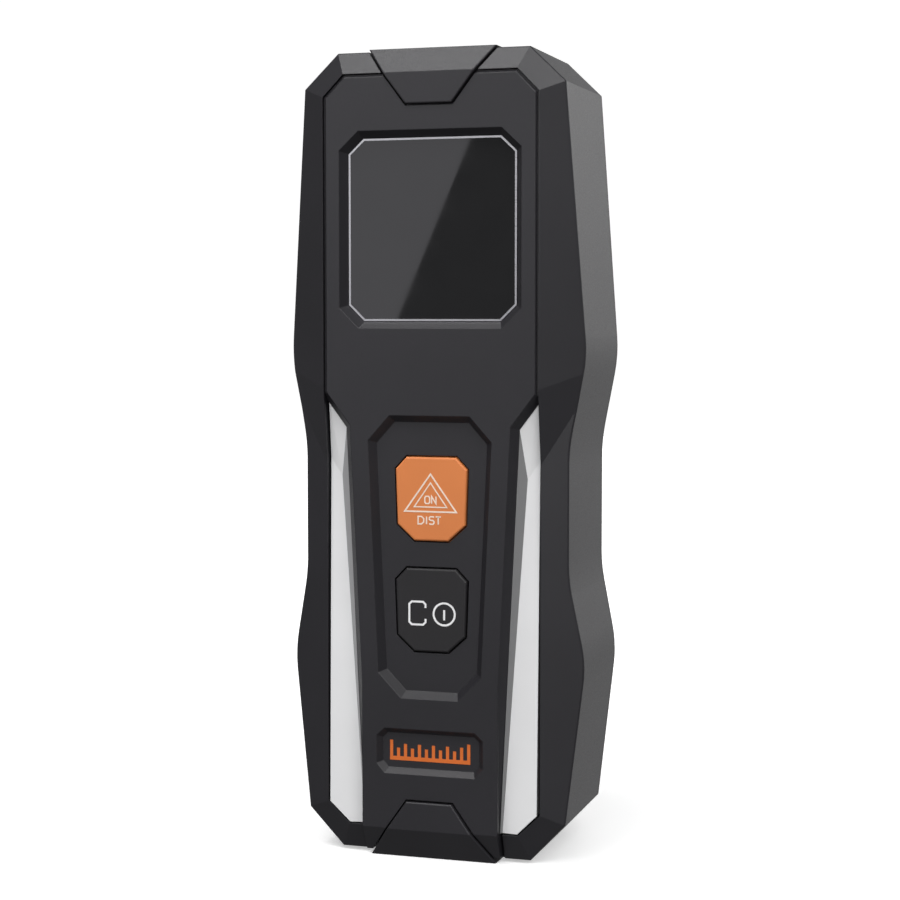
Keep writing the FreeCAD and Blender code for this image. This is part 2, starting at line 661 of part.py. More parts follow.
# ---------------------------------------------------------------- electronics
def main_board():
    board = box(-BOARD_HALF, BOARD_HALF, BOARD_FRONT, BOARD_BACK, BOARD_BOTTOM, BOARD_TOP)
    for corner in ((BOARD_HALF, BOARD_BOTTOM), (BOARD_HALF, BOARD_TOP)):
        cutter = [(corner[0] - 3.5, corner[1]), (corner[0], corner[1]),
                  (corner[0], corner[1] + (3.5 if corner[1] < 50 else -3.5))]
        grown = offset_loop(cutter, 0.01)
        for shape in both_sides(prism(grown, BOARD_FRONT - 1, BOARD_BACK + 1)):
            board = board.cut(shape)
    for x, z in STANDOFFS:
        for s in (x, -x):
            board = board.cut(rod_y(s, z, 1.05, BOARD_FRONT - 1, BOARD_BACK + 1))
    for x, z in OPTIC_SCREWS:
        board = board.cut(rod_y(x, z, 0.75, BOARD_FRONT - 1, BOARD_BACK + 1))
    return board


def board_chips():
    """Packages soldered on the back of the board, below the optics."""
    places = [
        (-12.6, -5.4, 26.0, 33.2, 1.0),
        (-12.8, -8.2, 38.0, 42.6, 0.9),
        (6.2, 12.6, 36.0, 39.8, 1.4),
        (7.0, 12.2, 46.5, 51.7, 0.8),
        (-12.4, -9.6, 50.0, 51.6, 0.6),
        (-12.4, -9.6, 53.0, 54.6, 0.6),
        (9.0, 11.2, 27.5, 31.5, 1.2),
    ]
    return Part.makeCompound([box(x0, x1, BOARD_BACK, BOARD_BACK + height, z0, z1)
                              for x0, x1, z0, z1, height in places])


def shield_can():
    can = box(-3.2, 4.2, BOARD_BACK, BOARD_BACK + 1.9, 42.5, 57.5)
    can = can.makeFillet(0.3, [e for e in can.Edges if edge_box(e)[2] > BOARD_BACK + 1.8])
    return can.cut(box(-2.95, 3.95, BOARD_BACK - 1, BOARD_BACK + 1.65, 42.75, 57.25))


def buzzer():
    can = rod_y(0.0, 30.0, 4.4, BOARD_BACK, BOARD_BACK + 2.4)
    can = can.makeFillet(0.35, [e for e in can.Edges if edge_box(e)[2] > BOARD_BACK + 2.3])
    return can.cut(rod_y(0.0, 30.0, 0.8, BOARD_BACK + 1.9, BOARD_BACK + 3))


# ---------------------------------------------------------------- optics
def optics_frame():
    """The casting that holds the receiver lens and the laser barrel in line."""
    plate = box(-13.0, 13.0, BOARD_BACK + 0.1, OPTIC_PLATE_BACK, 71.5, 101.5)
    receiver = rod_z(RECEIVER_X, OPTIC_DEPTH, RECEIVER_TUBE, 77.5, TUBE_TOP)
    emitter = rod_z(EMITTER_X, OPTIC_DEPTH, EMITTER_TUBE, 89.2, TUBE_TOP)
    web = box(-7.5, 7.6, OPTIC_PLATE_BACK - 1, OPTIC_DEPTH, 89.2, 101.5)
    foot = box(-7.5, 2.4, OPTIC_PLATE_BACK - 1, OPTIC_DEPTH, 77.5, 90.0)
    ribs = [box(x - 0.6, x + 0.6, OPTIC_PLATE_BACK - 1, OPTIC_DEPTH - 1, 72.5, 101.0) for x in (-9.6, 9.4)]
    block = fuse(plate, receiver, emitter, web, foot, *ribs)
    block = block.cut(rod_z(RECEIVER_X, OPTIC_DEPTH, RECEIVER_BORE, 70, 120))
    block = block.cut(rod_z(EMITTER_X, OPTIC_DEPTH, EMITTER_BORE, 80, 120))
    for x, z in OPTIC_SCREWS:
        block = block.cut(rod_y(x, z, 1.05, 5, OPTIC_PLATE_BACK + 2))
        block = block.cut(rod_y(x, z, 1.75, OPTIC_PLATE_BACK - 0.01, OPTIC_DEPTH + 3))
    return block


def lens(x, rim_r, z, edge, bulge):
    """A lens with a flat back and a domed front, facing out of the top."""
    disc = rod_z(x, OPTIC_DEPTH, rim_r, z, z + edge)
    ball_r = (rim_r ** 2 + bulge ** 2) / (2 * bulge)
    dome = Part.makeSphere(ball_r, at(x, OPTIC_DEPTH, z + edge + bulge - ball_r))
    dome = dome.common(rod_z(x, OPTIC_DEPTH, rim_r, z + edge - 0.2, z + edge + bulge + 1))
    return fuse(disc, dome)


def laser_barrel():
    barrel = rod_z(EMITTER_X, OPTIC_DEPTH, EMITTER_BORE - 0.04, 91.0, 103.0)
    barrel = barrel.cut(rod_z(EMITTER_X, OPTIC_DEPTH, 1.3, 93.0, 104.0))
    diode = rod_z(EMITTER_X, OPTIC_DEPTH, 1.6, 88.9, 91.05)
    return fuse(barrel, diode)


def receiver_board():
    board = box(RECEIVER_X - 5.6, RECEIVER_X + 5.6, BOARD_BACK + 2.4, OPTIC_DEPTH + 5.4, 76.1, 77.3)
    can = rod_z(RECEIVER_X, OPTIC_DEPTH, 2.4, 77.2, 80.2)
    return fuse(board, can)


def laser_board():
    return box(EMITTER_X - 1.8, EMITTER_X + 3.0, OPTIC_DEPTH - 3.0, OPTIC_DEPTH + 3.0, 87.8, 88.8)


def optics_seal():
    """Foam between the tubes and the end cap; it keeps the laser's stray light off the receiver."""
    pad = box(-7.7, 7.7, OPTIC_DEPTH - 5.7, OPTIC_DEPTH + 5.4, TUBE_TOP, TOTAL_HEIGHT - CAP_END_THICK)
    pad = pad.cut(rod_z(RECEIVER_X, OPTIC_DEPTH, 4.5, 110, 115))
    return pad.cut(rod_z(EMITTER_X, OPTIC_DEPTH, 2.0, 110, 115))


# ---------------------------------------------------------------- battery and door
def cell(side):
    """A size AAA cell. The one at -X points up and the other down."""
    nub = 1.0
    body_len = CELL_LENGTH - nub
    if side < 0:
        low = BAY_TOP - 1.05 - CELL_LENGTH
        body = rod_z(side * CELL_X, CELL_DEPTH, CELL_R, low, low + body_len)
        tip = rod_z(side * CELL_X, CELL_DEPTH, 1.9, low + body_len - 0.1, low + CELL_LENGTH)
    else:
        low = BAY_BOTTOM + 1.05
        body = rod_z(side * CELL_X, CELL_DEPTH, CELL_R, low + nub, low + CELL_LENGTH)
        tip = rod_z(side * CELL_X, CELL_DEPTH, 1.9, low, low + nub + 0.1)
    body = body.makeFillet(0.5, [e for e in body.Edges if e.Curve.TypeId == "Part::GeomCircle"])
    return fuse(body, tip)


def coil_spring(x, z0, z1):
    """A conical contact spring: an open helix of wire."""
    wire_r, turns = 0.32, 3.0
    length = z1 - z0 - 2 * wire_r
    helix = Part.makeHelix(length / turns, length, 3.1, 8.0)
    start = helix.Edges[0].valueAt(helix.Edges[0].FirstParameter)
    tangent = helix.Edges[0].tangentAt(helix.Edges[0].FirstParameter)
    ring = Part.Wire(Part.makeCircle(wire_r, start, tangent))
    coil = Part.Wire(helix.Edges).makePipeShell([ring], True, True)
    coil.translate(at(x, CELL_DEPTH, z0 + wire_r))
    return coil


def battery_springs():
    lower = coil_spring(-CELL_X, BAY_BOTTOM + 0.4, BAY_TOP - 1.05 - CELL_LENGTH)
    upper = coil_spring(CELL_X, BAY_BOTTOM + 1.05 + CELL_LENGTH, BAY_TOP - 0.4)
    return Part.makeCompound([lower, upper])


def terminal(side):
    """A plate at the bay's lower end with a tail through the floor to the board."""
    x = side * CELL_X
    plate = box(x - 4.4, x + 4.4, BAY_FLOOR + 0.2, 21.2, BAY_BOTTOM, BAY_BOTTOM + 0.4)
    tail = box(x - 0.9, x + 0.9, BOARD_BACK, BAY_FLOOR + 0.3, BAY_BOTTOM, BAY_BOTTOM + 0.4)
    parts = [plate, tail]
    if side > 0:
        parts.append(rod_z(x, CELL_DEPTH, 1.6, BAY_BOTTOM + 0.3, BAY_BOTTOM + 1.05))
    return fuse(*parts)


def contact_bridge():
    """The plate at the bay's upper end that joins the two cells."""
    plate = box(-CELL_X - 4.4, CELL_X + 4.4, BAY_FLOOR + 0.2, 21.2, BAY_TOP - 0.4, BAY_TOP)
    dimple = rod_z(-CELL_X, CELL_DEPTH, 2.6, BAY_TOP - 1.05, BAY_TOP - 0.3)
    return fuse(plate, dimple)


def door_outline(gap):
    half, cut = DOOR_HALF + gap, 2.4
    low, high = DOOR_BOTTOM + 0.15 - gap, DOOR_TOP - 0.15 + gap
    return mirrored([(half - cut, high), (half, high - cut), (half, low), (0.01, low)])


def battery_door():
    plate = prism(door_outline(0), BACK_DEPTH - DOOR_THICK, BACK_DEPTH)
    plate = plate.makeChamfer(0.2, [e for e in plate.Edges if edge_box(e)[2] > BACK_DEPTH - 0.01])
    for row in range(5):
        z = 54.5 - 1.9 * row
        plate = plate.cut(box(-4.6, 4.6, BACK_DEPTH - 0.45, BACK_DEPTH + 1, z, z + 0.8))
    # slits either side of the latch tongue, and its stop below the finger scoop
    for side in (1, -1):
        x0, x1 = sorted((side * 5.6, side * 6.2))
        plate = plate.cut(box(x0, x1, BACK_DEPTH - DOOR_THICK - 1, BACK_DEPTH + 1, 57.0, DOOR_TOP + 1))
    latch = box(-5.0, 5.0, BACK_DEPTH - DOOR_THICK - 1.0, BACK_DEPTH - DOOR_THICK + 0.1, 61.2, 62.4)
    hooks = []
    for side in (1, -1):
        x0, x1 = sorted((side * 2.1, side * 5.4))
        centre = at(x0, BACK_DEPTH, DOOR_BOTTOM)
        ring = Part.makeCylinder(HOOK_OUT, x1 - x0, centre, Vector(1, 0, 0))
        ring = ring.cut(Part.makeCylinder(HOOK_IN, x1 - x0, centre, Vector(1, 0, 0)))
        reach = box(x0, x1, BACK_DEPTH - 4, BACK_DEPTH - 1.68, DOOR_BOTTOM - 4, DOOR_BOTTOM + 2.6)
        hook = ring.common(reach)
        root = box(x0, x1, BACK_DEPTH - HOOK_OUT + 0.6, BACK_DEPTH - DOOR_THICK + 0.1,
                   DOOR_BOTTOM + 1.3, DOOR_BOTTOM + 2.1)
        hooks += [hook, root]
    return fuse(plate, latch, *hooks)


def door_pad():
    """A foam strip that keeps the cells from rattling."""
    return box(-10.0, 10.0, BACK_DEPTH - DOOR_THICK - 0.2, BACK_DEPTH - DOOR_THICK, 30.0, 44.0)


# ---------------------------------------------------------------- screws
def screw(x, z, head_r, head_front, head_height, shank_r, shank_front):
    """A cross-head screw driven from the back."""
    head = rod_y(x, z, head_r, head_front, head_front + head_height)
    head = head.makeFillet(0.3, [e for e in head.Edges if edge_box(e)[2] > head_front + head_height - 0.01])
    reach, blade = head_r * 0.62, head_r * 0.12
    for wide, tall in ((reach, blade), (blade, reach)):
        head = head.cut(box(x - wide, x + wide, head_front + head_height * 0.4, head_front + head_height + 1,
                            z - tall, z + tall))
    return fuse(head, rod_y(x, z, shank_r, shank_front, head_front + 0.1))


def case_screws():
    return Part.makeCompound([screw(s, z, SCREW_HEAD_R, 22.2, 1.4, SCREW_R, 13.5)
                              for x, z in SCREW_POSTS for s in (x, -x)])


def board_screws():
    return Part.makeCompound([screw(s, z, 1.5, BOARD_BACK, 1.0, 0.72, 4.6)
                              for x, z in STANDOFFS for s in (x, -x)])


def optics_screws():
    return Part.makeCompound([screw(x, z, 1.6, OPTIC_PLATE_BACK, 1.1, 0.72, BOARD_FRONT)
                              for x, z in OPTIC_SCREWS])


def main():
    pieces = {
        "housing_frame": housing_frame(),
        "front_faceplate": front_faceplate(),
        "rear_cover": rear_cover(),
        "accent_strip_right": accent_strip(1),
        "accent_strip_left": accent_strip(-1),
        "top_end_cap": top_end_cap(),
        "bottom_end_cap": bottom_end_cap(),
        "receiver_window": lens_disc(RECEIVER_X, 4.85, 113.1, 113.8),
        "laser_window": lens_disc(EMITTER_X, 2.25, 113.1, 113.8),
        "case_seal": case_seal(),
        "rear_label": rear_label(),
        "display_window": display_window(),
        "display_trim": display_trim(),
        "display_gasket": display_gasket(),
        "lcd_panel": lcd_panel(),
        "lcd_backlight": lcd_backlight(),
        "lcd_bracket": lcd_bracket(),
        "lcd_flex": lcd_flex(),
        "measure_key": key_cap(MEASURE_KEY_Z),
        "clear_key": key_cap(CLEAR_KEY_Z),
        "keypad_membrane": keypad_membrane(),
        "measure_switch_body": switch_body(MEASURE_KEY_Z),
        "measure_switch_plunger": switch_plunger(MEASURE_KEY_Z),
        "clear_switch_body": switch_body(CLEAR_KEY_Z),
        "clear_switch_plunger": switch_plunger(CLEAR_KEY_Z),
        "main_board": main_board(),
        "board_chips": board_chips(),
        "shield_can": shield_can(),
        "buzzer": buzzer(),
        "optics_frame": optics_frame(),
        "receiver_lens": lens(RECEIVER_X, RECEIVER_BORE - 0.05, 106.5, 1.4, 1.5),
        "laser_lens": lens(EMITTER_X, EMITTER_BORE - 0.05, 104.0, 0.8, 0.6),
        "laser_barrel": laser_barrel(),
        "receiver_board": receiver_board(),
        "laser_board": laser_board(),
        "optics_seal": optics_seal(),
        "battery_cell_left": cell(-1),
        "battery_cell_right": cell(1),
        "battery_springs": battery_springs(),
        "battery_terminal_left": terminal(-1),
        "battery_terminal_right": terminal(1),
        "contact_bridge": contact_bridge(),
        "battery_door": battery_door(),
        "door_pad": door_pad(),
        "case_screws": case_screws(),
        "board_screws": board_screws(),
        "optics_screws": optics_screws(),
    }
    os.makedirs("parts", exist_ok=True)
    for name, shape in pieces.items():
        shape.exportStep(f"parts/{name}.step")
        print(f"{name:24s} valid={shape.isValid()} solids={len(shape.Solids)} volume={shape.Volume:.1f}")


main()
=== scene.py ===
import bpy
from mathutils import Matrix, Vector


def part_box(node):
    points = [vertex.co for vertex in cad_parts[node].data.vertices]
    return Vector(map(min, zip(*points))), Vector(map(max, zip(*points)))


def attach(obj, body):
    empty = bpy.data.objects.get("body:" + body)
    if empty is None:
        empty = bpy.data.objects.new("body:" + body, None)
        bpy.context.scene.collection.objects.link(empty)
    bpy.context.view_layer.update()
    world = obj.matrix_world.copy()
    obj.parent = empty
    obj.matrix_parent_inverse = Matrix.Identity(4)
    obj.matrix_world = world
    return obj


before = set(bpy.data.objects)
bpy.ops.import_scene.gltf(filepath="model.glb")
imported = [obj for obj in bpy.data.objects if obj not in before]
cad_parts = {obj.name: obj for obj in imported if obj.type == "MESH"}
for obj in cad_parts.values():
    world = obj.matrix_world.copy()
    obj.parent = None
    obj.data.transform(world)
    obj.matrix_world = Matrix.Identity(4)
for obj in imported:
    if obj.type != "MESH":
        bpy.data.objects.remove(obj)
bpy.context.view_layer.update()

import math

import bpy
from mathutils import Euler, Vector

MM = 0.001
FINE_RELIEF = 0.03 * MM      # height of a moulded grain
EDGE_SOFT = 0.16 * MM        # how far the case's corners look rounded

# Colours are sRGB levels from 0 to 255.
CHARCOAL = (38, 37, 41)
PALE_GREY = (237, 237, 238)
ORANGE = (224, 134, 76)
KEY_BLACK = (40, 39, 41)
INK_WHITE = (245, 245, 246)
INK_CREAM = (249, 229, 212)
INK_ORANGE = (222, 112, 44)
BOARD_GREEN = (20, 84, 50)
BOARD_GREEN_LIGHT = (24, 92, 56)
TRACK_GREEN = (64, 138, 92)
SLEEVE_BLUE = (52, 66, 82)
SLEEVE_COPPER = (178, 118, 66)

WHITE = (1.0, 1.0, 1.0, 1.0)     # linear, for sockets
PLASTIC_IOR = 1.5

# The range that a noise texture's values mostly fall in.
NOISE_LOW, NOISE_HIGH = 0.3, 0.7
# How far a facet leans sideways, from the start to the end of its painted shade.
FACET_LEAN_FROM, FACET_LEAN_TO = 0.42, 0.48
# The longest a mitred corner of a printed line may get: the line's half width over this.
MITRE_LIMIT = 0.3

# The camera stands where the photograph was taken from.
CAMERA_PLACE = Vector((0.08795, -0.28141, 0.07707))
CAMERA_PITCH = math.radians(86.205)
CAMERA_TURN = math.radians(17.49)
CAMERA_LENS = 81.49
CAMERA_SENSOR = 36.0

# The softboxes stand one metre from here and are all of one size, in metres.
LIGHT_AIM = Vector((0.0, 0.0, 0.06))
SOFTBOX_SIZE = 0.4


def linear(level):
    level = level / 255.0
    return level / 12.92 if level <= 0.04045 else ((level + 0.055) / 1.055) ** 2.4


def rgba(colour, gain=1.0):
    return tuple(min(1.0, linear(c) * gain) for c in colour) + (1.0,)


# ---------------------------------------------------------------- materials
class Recipe:
    """A material built from nodes, with object coordinates so that a pattern stays put on the piece."""

    def __init__(self, name):
        self.material = bpy.data.materials.new(name)
        self.material.use_nodes = True
        self.tree = self.material.node_tree
        self.shader = self.tree.nodes["Principled BSDF"]
        self.coords = self.tree.nodes.new("ShaderNodeTexCoord").outputs["Object"]

    def node(self, kind, **inputs):
        made = self.tree.nodes.new(kind)
        for key, value in inputs.items():
            made.inputs[key.replace("_", " ")].default_value = value
        return made

    def link(self, source, target):
        self.tree.links.new(source, target)

    def noise(self, scale, detail=2.0, stretch=None):
        made = self.node("ShaderNodeTexNoise", Scale=scale, Detail=detail)
        source = self.coords
        if stretch:
            mapping = self.tree.nodes.new("ShaderNodeMapping")
            mapping.inputs["Scale"].default_value = stretch
            self.link(self.coords, mapping.inputs["Vector"])
            source = mapping.outputs["Vector"]
        self.link(source, made.inputs["Vector"])
        return made.outputs["Fac"]

    def between(self, factor, low, high):
        """Maps a 0 to 1 pattern onto a range of values."""
        made = self.node("ShaderNodeMapRange", From_Min=NOISE_LOW, From_Max=NOISE_HIGH, To_Min=low, To_Max=high)
        self.link(factor, made.inputs["Value"])
        return made.outputs["Result"]

    def sideways(self):
        """How far the surface leans to the left or right, from 0 facing front to 1 facing sideways."""
        coords = self.tree.nodes.new("ShaderNodeTexCoord")
        split = self.tree.nodes.new("ShaderNodeSeparateXYZ")
        self.link(coords.outputs["Normal"], split.inputs[0])
        size = self.tree.nodes.new("ShaderNodeMath")
        size.operation = "ABSOLUTE"
        self.link(split.outputs["X"], size.inputs[0])
        return size.outputs[0]

    def mix(self, factor, first, second, first_source=None):
        made = self.tree.nodes.new("ShaderNodeMix")
        made.data_type = "RGBA"
        if first_source is None:
            made.inputs[6].default_value = first
        else:
            self.link(first_source, made.inputs[6])
        made.inputs[7].default_value = second
        self.link(factor, made.inputs[0])
        return made.outputs[2]

    def bump(self, height, strength, depth, edge=0.0):
        """Surface relief; an edge radius also softens the look of sharp corners."""
        made = self.node("ShaderNodeBump", Strength=strength, Distance=depth)
        self.link(height, made.inputs["Height"])
        if edge:
            soft = self.node("ShaderNodeBevel", Radius=edge)
            soft.samples = 4
            self.link(soft.outputs["Normal"], made.inputs["Normal"])
        self.link(made.outputs["Normal"], self.shader.inputs["Normal"])


def plastic(name, colour, rough=0.45, grain=2600.0, relief=0.35, specular=0.4, tone=0.10, edge=0.0,
            facet_painted_shade=None):
    """Moulded plastic with a fine spark-eroded grain and slightly uneven tone.

    A painted facet shade darkens the facets that lean far to one side, in place of the shade that falls on
    them.
    """
    r = Recipe(name)
    broad = r.noise(60.0, 3.0)
    fine = r.noise(grain, 2.0)
    shade = r.mix(r.between(broad, 0.0, 1.0), rgba(colour, 1.0 - tone), rgba(colour, 1.0 + tone))
    # Painted shade: facets that lean far to one side are given a darker colour.
    if facet_painted_shade:
        lean = r.node("ShaderNodeMapRange", From_Min=FACET_LEAN_FROM, From_Max=FACET_LEAN_TO)
        r.link(r.sideways(), lean.inputs["Value"])
        shade = r.mix(lean.outputs["Result"], None, rgba(facet_painted_shade), first_source=shade)
    r.link(shade, r.shader.inputs["Base Color"])
    r.link(r.between(fine, rough - 0.05, rough + 0.06), r.shader.inputs["Roughness"])
    r.shader.inputs["Specular IOR Level"].default_value = specular
    r.bump(fine, relief, FINE_RELIEF, edge)
    return r.material


def rubber(name, colour, rough=0.55):
    return plastic(name, colour, rough=rough, grain=4200.0, relief=0.2, specular=0.35, tone=0.06)


def metal(name, colour, rough=0.28, stretch=(1.0, 1.0, 30.0)):
    """Metal with fine lines left by rolling, turning or brushing."""
    r = Recipe(name)
    lines = r.noise(400.0, 3.0, stretch)
    shade = r.mix(lines, rgba(colour, 0.82), rgba(colour, 1.12))
    r.link(shade, r.shader.inputs["Base Color"])
    r.shader.inputs["Metallic"].default_value = 1.0
    r.link(r.between(lines, rough - 0.07, rough + 0.1), r.shader.inputs["Roughness"])
    r.bump(lines, 0.12, 0.02 * MM)
    return r.material


def clear(name, colour, rough=0.03, transmission=1.0, specular=0.5):
    """Glass or clear plastic with a faint haze."""
    r = Recipe(name)
    haze = r.noise(300.0, 3.0)
    r.link(r.mix(haze, rgba(colour, 0.94), rgba(colour, 1.0)), r.shader.inputs["Base Color"])
    r.link(r.between(haze, rough, rough + 0.02), r.shader.inputs["Roughness"])
    r.shader.inputs["Transmission Weight"].default_value = transmission
    r.shader.inputs["Specular IOR Level"].default_value = specular
    r.shader.inputs["IOR"].default_value = PLASTIC_IOR
    return r.material


def smoked_window(name):
    """The display's cover: glossy, and dark enough that the panel behind barely shows."""
    r = Recipe(name)
    haze = r.noise(220.0, 3.0)
    tint = r.mix(haze, (0.010, 0.010, 0.011, 1.0), (0.014, 0.014, 0.015, 1.0))
    r.link(tint, r.shader.inputs["Base Color"])
    r.link(r.between(haze, 0.015, 0.03), r.shader.inputs["Roughness"])
    r.shader.inputs["IOR"].default_value = PLASTIC_IOR
    return r.material


def board(name):
    """Solder mask with buried copper tracks that show as lighter lines."""
    r = Recipe(name)
    tracks = r.node("ShaderNodeTexBrick", Scale=240.0, Mortar_Size=0.02)
    tracks.inputs["Color1"].default_value = rgba(BOARD_GREEN)
    tracks.inputs["Color2"].default_value = rgba(BOARD_GREEN_LIGHT)
    tracks.inputs["Mortar"].default_value = rgba(TRACK_GREEN)
    turn = r.tree.nodes.new("ShaderNodeMapping")
    turn.inputs["Rotation"].default_value = (math.radians(90), 0.0, 0.0)
    r.link(r.coords, turn.inputs["Vector"])
    r.link(turn.outputs["Vector"], tracks.inputs["Vector"])
    r.link(tracks.outputs["Color"], r.shader.inputs["Base Color"])
    r.link(r.between(r.noise(500.0), 0.25, 0.4), r.shader.inputs["Roughness"])
    r.bump(tracks.outputs["Fac"], 0.3, FINE_RELIEF)
    return r.material


def foam(name, colour):
    """Open-celled foam."""
    r = Recipe(name)
    cells = r.node("ShaderNodeTexVoronoi", Scale=2600.0)
    r.link(r.coords, cells.inputs["Vector"])
    shade = r.mix(cells.outputs["Distance"], rgba(colour, 0.5), rgba(colour, 1.5))
    r.link(shade, r.shader.inputs["Base Color"])
    r.shader.inputs["Roughness"].default_value = 0.9
    r.bump(cells.outputs["Distance"], 0.8, 0.12 * MM)
    return r.material


def cell_jacket(name, dark_z, copper_z):
    """A battery's printed sleeve: dark up to one height, and copper-coloured past the other."""
    r = Recipe(name)
    split = r.tree.nodes.new("ShaderNodeSeparateXYZ")
    r.link(r.coords, split.inputs[0])
    step = r.node("ShaderNodeMapRange", From_Min=dark_z, From_Max=copper_z)
    r.link(split.outputs["Z"], step.inputs["Value"])
    shade = r.mix(step.outputs["Result"], rgba(SLEEVE_BLUE), rgba(SLEEVE_COPPER))
    wear = r.noise(90.0, 4.0)
    grime = r.mix(r.between(wear, 0.0, 0.25), WHITE, (0.6, 0.6, 0.6, 1.0))
    blend = r.tree.nodes.new("ShaderNodeMix")
    blend.data_type = "RGBA"
    blend.blend_type = "MULTIPLY"
    blend.inputs[0].default_value = 1.0
    r.link(shade, blend.inputs[6])
    r.link(grime, blend.inputs[7])
    r.link(blend.outputs[2], r.shader.inputs["Base Color"])
    r.link(r.between(wear, 0.25, 0.4), r.shader.inputs["Roughness"])
    r.shader.inputs["Metallic"].default_value = 0.55
    return r.material


def film(name, colour, rough=0.3):
    """A printed, coated or sheet surface that is faintly mottled."""
    r = Recipe(name)
    mottle = r.noise(700.0, 3.0)
    r.link(r.mix(mottle, rgba(colour, 0.9), rgba(colour, 1.08)), r.shader.inputs["Base Color"])
    r.link(r.between(mottle, rough, rough + 0.12), r.shader.inputs["Roughness"])
    r.bump(mottle, 0.1, 0.01 * MM)
    return r.material


def coat(names, material):
    for name in names:
        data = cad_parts[name].data
        data.materials.clear()
        data.materials.append(material)


def accent_plastic(name, facet_painted_shade):
    """The pale bars' plastic. In the photograph the facet on the inner side is darker than the front, and here
    that facet gets a painted shade.
    """
    return plastic(name, PALE_GREY, rough=0.38, grain=3200.0, relief=0.12, specular=0.45, tone=0.03,
                   edge=0.1 * MM, facet_painted_shade=facet_painted_shade)


# Shells, keys and the display
coat(["housing_frame", "front_faceplate", "top_end_cap", "bottom_end_cap"],
     plastic("case_plastic", CHARCOAL, rough=0.42, specular=0.48, grain=5200.0, relief=0.16, edge=EDGE_SOFT))
coat(["rear_cover", "battery_door"],
     plastic("cover_plastic", CHARCOAL, rough=0.46, specular=0.5, grain=2300.0, relief=0.3, edge=EDGE_SOFT))
# Painted shade on the bars' inner facets: darker grey on the right bar than on the left, by how the light falls
# on each side.
coat(["accent_strip_left"], accent_plastic("strip_plastic_left", (168, 168, 170)))
coat(["accent_strip_right"], accent_plastic("strip_plastic", (132, 132, 133)))
coat(["measure_key"], rubber("orange_rubber", ORANGE, 0.5))
coat(["clear_key"], rubber("black_rubber", KEY_BLACK, 0.5))
coat(["keypad_membrane"], rubber("silicone", (158, 158, 160), 0.6))
coat(["case_seal"], rubber("seal_rubber", (28, 28, 28), 0.6))
coat(["display_window"], smoked_window("smoked_window"))
coat(["display_trim"], metal("silver_trim", (192, 192, 195), 0.32))
coat(["display_gasket", "optics_seal", "door_pad"], foam("black_foam", (36, 36, 36)))
coat(["rear_label"], film("label_film", (150, 152, 155), 0.35))

# Display module, switches and boards
coat(["lcd_panel"], film("lcd_glass", (104, 112, 100), 0.06))
coat(["lcd_backlight"], film("light_guide", (236, 238, 234)))
coat(["lcd_bracket"], plastic("bracket_plastic", (226, 226, 220), grain=1800.0))
coat(["lcd_flex"], film("flex_film", (172, 98, 38), 0.25))
coat(["measure_switch_body", "clear_switch_body"], plastic("switch_plastic", (34, 34, 36), grain=5000.0))
coat(["measure_switch_plunger", "clear_switch_plunger"],
     plastic("switch_button", (186, 74, 52), grain=5000.0))
coat(["main_board", "receiver_board", "laser_board"], board("circuit_board"))
coat(["board_chips", "buzzer"], plastic("chip_resin", (30, 30, 32), grain=6000.0, rough=0.5))
coat(["shield_can"], metal("shield_tin", (196, 196, 192), 0.3))

# Optics
coat(["optics_frame"], plastic("optics_plastic", (34, 34, 36), grain=1800.0, rough=0.55))
coat(["receiver_lens", "laser_lens"], clear("lens_glass", (226, 232, 238)))
coat(["receiver_window", "laser_window"],
     clear("red_window", (150, 24, 30), rough=0.08, transmission=0.8, specular=0.2))
coat(["laser_barrel"], metal("barrel_brass", (200, 166, 92), 0.25, stretch=(1.0, 1.0, 40.0)))

# Power and fasteners. The two cells lie head to tail, so the copper band is at opposite ends.
BAND = 10.5 * MM
BAND_BLUR = 0.3 * MM
left_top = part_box("battery_cell_left")[1].z
right_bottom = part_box("battery_cell_right")[0].z
coat(["battery_cell_left"], cell_jacket("cell_left", left_top - BAND, left_top - BAND + BAND_BLUR))
coat(["battery_cell_right"], cell_jacket("cell_right", right_bottom + BAND, right_bottom + BAND - BAND_BLUR))
coat(["battery_springs", "battery_terminal_left", "battery_terminal_right", "contact_bridge"],
     metal("contact_steel", (204, 204, 200), 0.22))
coat(["case_screws", "board_screws", "optics_screws"], metal("screw_steel", (124, 124, 128), 0.3))


# ---------------------------------------------------------------- printed marks
def mark(name, pieces, y, thick, material, body):
    """Flat printed shapes that share one mesh, standing a hair in front of the surface they are printed on."""
    verts, faces = [], []
    for outline in pieces:
        start, count = len(verts), len(outline)
        verts += [(x, y, z) for x, z in outline] + [(x, y - thick, z) for x, z in outline]
        faces.append(tuple(start + i for i in range(count)))
        faces.append(tuple(start + count + i for i in reversed(range(count))))
        for i in range(count):
            j = (i + 1) % count
            faces.append((start + i, start + count + i, start + count + j, start + j))
    mesh = bpy.data.meshes.new(name)
    mesh.from_pydata(verts, [], faces)
    mesh.validate()
    mesh.update()
    obj = bpy.data.objects.new(name, mesh)
    bpy.context.scene.collection.objects.link(obj)
    for polygon in mesh.polygons:
        polygon.use_smooth = False
    mesh.materials.append(material)
    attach(obj, body)


def stroke(points, width, closed=False):
    """Quads that follow a line of points with mitred corners."""
    pts = [Vector(p) for p in points]
    count = len(pts)
    sides = []
    for i in range(count):
        before = pts[(i - 1) % count] if closed or i > 0 else None
        after = pts[(i + 1) % count] if closed or i < count - 1 else None
        into = (pts[i] - before).normalized() if before is not None else (after - pts[i]).normalized()
        out = (after - pts[i]).normalized() if after is not None else into
        n1, n2 = Vector((-into.y, into.x)), Vector((-out.y, out.x))
        n = (n1 + n2).normalized()
        reach = width / 2 / max(MITRE_LIMIT, n.dot(n1))
        sides.append((pts[i] + n * reach, pts[i] - n * reach))
    quads = []
    for i in range(count if closed else count - 1):
        a, b = sides[i], sides[(i + 1) % count]
        quads.append([tuple(a[1]), tuple(b[1]), tuple(b[0]), tuple(a[0])])
    return quads


